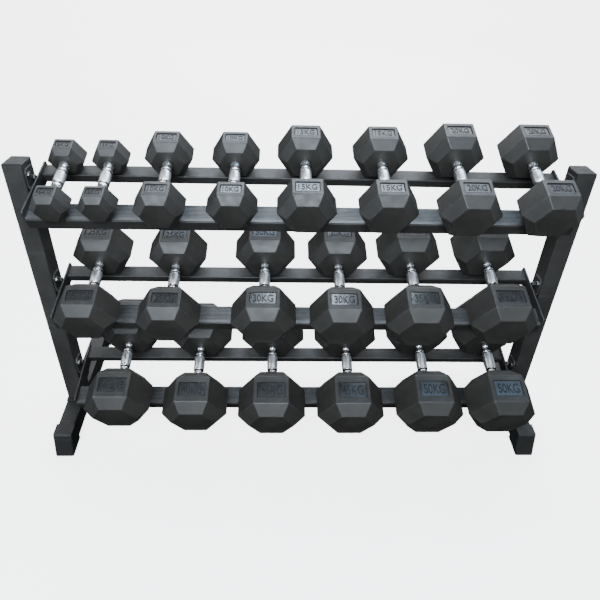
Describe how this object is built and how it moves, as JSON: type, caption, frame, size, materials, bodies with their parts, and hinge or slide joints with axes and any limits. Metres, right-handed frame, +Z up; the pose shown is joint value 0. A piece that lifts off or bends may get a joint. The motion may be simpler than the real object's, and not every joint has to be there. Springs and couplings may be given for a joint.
{
  "type": "dumbbell rack",
  "caption": "Three-tier dumbbell rack with leaning uprights on long feet and tilted angle-rail tiers, loaded with hex dumbbells that lift off forwards.",
  "frame": {"origin": "on the floor under the middle of the overall box of the loaded rack", "axes": "+X along the rack to the right seen from the front, +Y to the back, +Z up; the front faces -Y"},
  "size_m": [1.43, 0.5593, 0.8883],
  "materials": {
    "rack_paint": "black powder coat, satin",
    "cap_plastic": "black moulded plastic",
    "mat_rubber": "ribbed black rubber strip",
    "bolt_steel": "blackened steel",
    "head_rubber_iron": "iron with a moulded black rubber coat",
    "handle_chrome": "polished chrome, knurled grip"
  },
  "bodies": {
    "rack": {"left_foot": "rack_paint", "right_foot": "rack_paint", "foot_caps": "cap_plastic", "upright_base_plates": "rack_paint", "left_upright": "rack_paint", "right_upright": "rack_paint", "upright_caps": "cap_plastic", "upright_brackets": "rack_paint", "bracket_bolts": "bolt_steel", "rail_mats": "mat_rubber", "bottom_front_rail": "rack_paint", "bottom_rear_rail": "rack_paint", "bottom_end_plates": "rack_paint", "middle_front_rail": "rack_paint", "middle_rear_rail": "rack_paint", "middle_end_plates": "rack_paint", "top_front_rail": "rack_paint", "top_rear_rail": "rack_paint", "top_end_plates": "rack_paint"},
    "bottom_1_40kg": {"bottom_1_40kg_heads": "head_rubber_iron", "bottom_1_40kg_handle": "handle_chrome"},
    "bottom_2_40kg": {"bottom_2_40kg_heads": "head_rubber_iron", "bottom_2_40kg_handle": "handle_chrome"},
    "bottom_3_45kg": {"bottom_3_45kg_heads": "head_rubber_iron", "bottom_3_45kg_handle": "handle_chrome"},
    "bottom_4_45kg": {"bottom_4_45kg_heads": "head_rubber_iron", "bottom_4_45kg_handle": "handle_chrome"},
    "bottom_5_50kg": {"bottom_5_50kg_heads": "head_rubber_iron", "bottom_5_50kg_handle": "handle_chrome"},
    "bottom_6_50kg": {"bottom_6_50kg_heads": "head_rubber_iron", "bottom_6_50kg_handle": "handle_chrome"},
    "middle_1_25kg": {"middle_1_25kg_heads": "head_rubber_iron", "middle_1_25kg_handle": "handle_chrome"},
    "middle_2_25kg": {"middle_2_25kg_heads": "head_rubber_iron", "middle_2_25kg_handle": "handle_chrome"},
    "middle_3_30kg": {"middle_3_30kg_heads": "head_rubber_iron", "middle_3_30kg_handle": "handle_chrome"},
    "middle_4_30kg": {"middle_4_30kg_heads": "head_rubber_iron", "middle_4_30kg_handle": "handle_chrome"},
    "middle_5_35kg": {"middle_5_35kg_heads": "head_rubber_iron", "middle_5_35kg_handle": "handle_chrome"},
    "middle_6_35kg": {"middle_6_35kg_heads": "head_rubber_iron", "middle_6_35kg_handle": "handle_chrome"},
    "top_1_5kg": {"top_1_5kg_heads": "head_rubber_iron", "top_1_5kg_handle": "handle_chrome"},
    "top_2_5kg": {"top_2_5kg_heads": "head_rubber_iron", "top_2_5kg_handle": "handle_chrome"},
    "top_3_10kg": {"top_3_10kg_heads": "head_rubber_iron", "top_3_10kg_handle": "handle_chrome"},
    "top_4_10kg": {"top_4_10kg_heads": "head_rubber_iron", "top_4_10kg_handle": "handle_chrome"},
    "top_5_15kg": {"top_5_15kg_heads": "head_rubber_iron", "top_5_15kg_handle": "handle_chrome"},
    "top_6_15kg": {"top_6_15kg_heads": "head_rubber_iron", "top_6_15kg_handle": "handle_chrome"},
    "top_7_20kg": {"top_7_20kg_heads": "head_rubber_iron", "top_7_20kg_handle": "handle_chrome"},
    "top_8_20kg": {"top_8_20kg_heads": "head_rubber_iron", "top_8_20kg_handle": "handle_chrome"}
  },
  "joints": [
    {"name": "bottom_1_40kg_lift", "type": "slide", "parent": "rack", "child": "bottom_1_40kg", "axis": [0, -0.9945, 0.1045], "range_m": [0, 0.42]},
    {"name": "bottom_2_40kg_lift", "type": "slide", "parent": "rack", "child": "bottom_2_40kg", "axis": [0, -0.9945, 0.1045], "range_m": [0, 0.42]},
    {"name": "bottom_3_45kg_lift", "type": "slide", "parent": "rack", "child": "bottom_3_45kg", "axis": [0, -0.9945, 0.1045], "range_m": [0, 0.42]},
    {"name": "bottom_4_45kg_lift", "type": "slide", "parent": "rack", "child": "bottom_4_45kg", "axis": [0, -0.9945, 0.1045], "range_m": [0, 0.42]},
    {"name": "bottom_5_50kg_lift", "type": "slide", "parent": "rack", "child": "bottom_5_50kg", "axis": [0, -0.9945, 0.1045], "range_m": [0, 0.42]},
    {"name": "bottom_6_50kg_lift", "type": "slide", "parent": "rack", "child": "bottom_6_50kg", "axis": [0, -0.9945, 0.1045], "range_m": [0, 0.42]},
    {"name": "middle_1_25kg_lift", "type": "slide", "parent": "rack", "child": "middle_1_25kg", "axis": [0, -0.9945, 0.1045], "range_m": [0, 0.42]},
    {"name": "middle_2_25kg_lift", "type": "slide", "parent": "rack", "child": "middle_2_25kg", "axis": [0, -0.9945, 0.1045], "range_m": [0, 0.42]},
    {"name": "middle_3_30kg_lift", "type": "slide", "parent": "rack", "child": "middle_3_30kg", "axis": [0, -0.9945, 0.1045], "range_m": [0, 0.42]},
    {"name": "middle_4_30kg_lift", "type": "slide", "parent": "rack", "child": "middle_4_30kg", "axis": [0, -0.9945, 0.1045], "range_m": [0, 0.42]},
    {"name": "middle_5_35kg_lift", "type": "slide", "parent": "rack", "child": "middle_5_35kg", "axis": [0, -0.9945, 0.1045], "range_m": [0, 0.42]},
    {"name": "middle_6_35kg_lift", "type": "slide", "parent": "rack", "child": "middle_6_35kg", "axis": [0, -0.9945, 0.1045], "range_m": [0, 0.42]},
    {"name": "top_1_5kg_lift", "type": "slide", "parent": "rack", "child": "top_1_5kg", "axis": [0, -0.9945, 0.1045], "range_m": [0, 0.42]},
    {"name": "top_2_5kg_lift", "type": "slide", "parent": "rack", "child": "top_2_5kg", "axis": [0, -0.9945, 0.1045], "range_m": [0, 0.42]},
    {"name": "top_3_10kg_lift", "type": "slide", "parent": "rack", "child": "top_3_10kg", "axis": [0, -0.9945, 0.1045], "range_m": [0, 0.42]},
    {"name": "top_4_10kg_lift", "type": "slide", "parent": "rack", "child": "top_4_10kg", "axis": [0, -0.9945, 0.1045], "range_m": [0, 0.42]},
    {"name": "top_5_15kg_lift", "type": "slide", "parent": "rack", "child": "top_5_15kg", "axis": [0, -0.9945, 0.1045], "range_m": [0, 0.42]},
    {"name": "top_6_15kg_lift", "type": "slide", "parent": "rack", "child": "top_6_15kg", "axis": [0, -0.9945, 0.1045], "range_m": [0, 0.42]},
    {"name": "top_7_20kg_lift", "type": "slide", "parent": "rack", "child": "top_7_20kg", "axis": [0, -0.9945, 0.1045], "range_m": [0, 0.42]},
    {"name": "top_8_20kg_lift", "type": "slide", "parent": "rack", "child": "top_8_20kg", "axis": [0, -0.9945, 0.1045], "range_m": [0, 0.42]}
  ]
}
